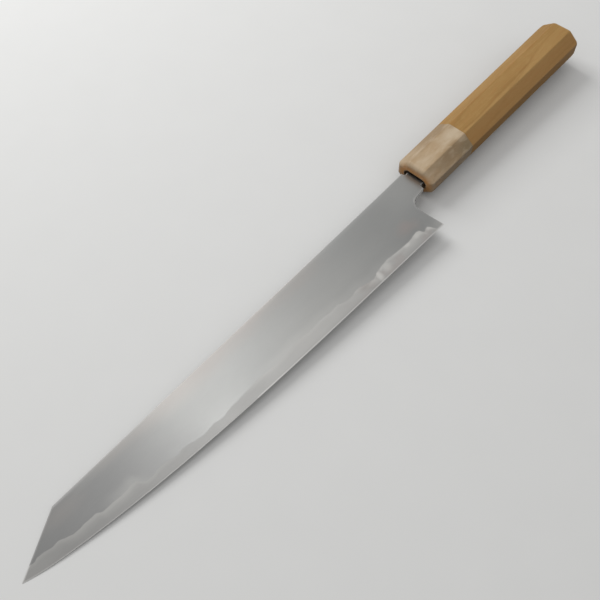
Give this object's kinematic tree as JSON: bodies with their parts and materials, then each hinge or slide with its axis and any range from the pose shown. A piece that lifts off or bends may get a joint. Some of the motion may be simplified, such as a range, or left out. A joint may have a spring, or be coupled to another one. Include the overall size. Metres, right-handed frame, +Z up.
{
  "type": "sujihiki knife",
  "caption": "Long narrow slicing knife with an angled tip, layered steel blade with a bare edge band, and an eight-sided wooden handle with a horn ferrule.",
  "frame": {"origin": "middle of the footprint, on the table that the knife lies on", "axes": "+X runs from the tip to the butt, +Y to the spine, +Z up out of the left face of the blade; the knife leans 1.8 degrees, so that the blade touches the table near its tip"},
  "size_m": [0.4312, 0.0446, 0.0239],
  "materials": {
    "core_steel": "satin hard core, bare along the edge",
    "cladding": "soft satin cladding",
    "horn": "pale polished horn with clouds",
    "wood": "oiled tan hardwood",
    "dowel": "plain"
  },
  "bodies": {
    "root": {"core_steel": "core_steel", "cladding_left": "cladding", "cladding_right": "cladding", "ferrule": "horn", "handle_body": "wood", "tang_dowel": "dowel"}
  },
  "joints": []
}
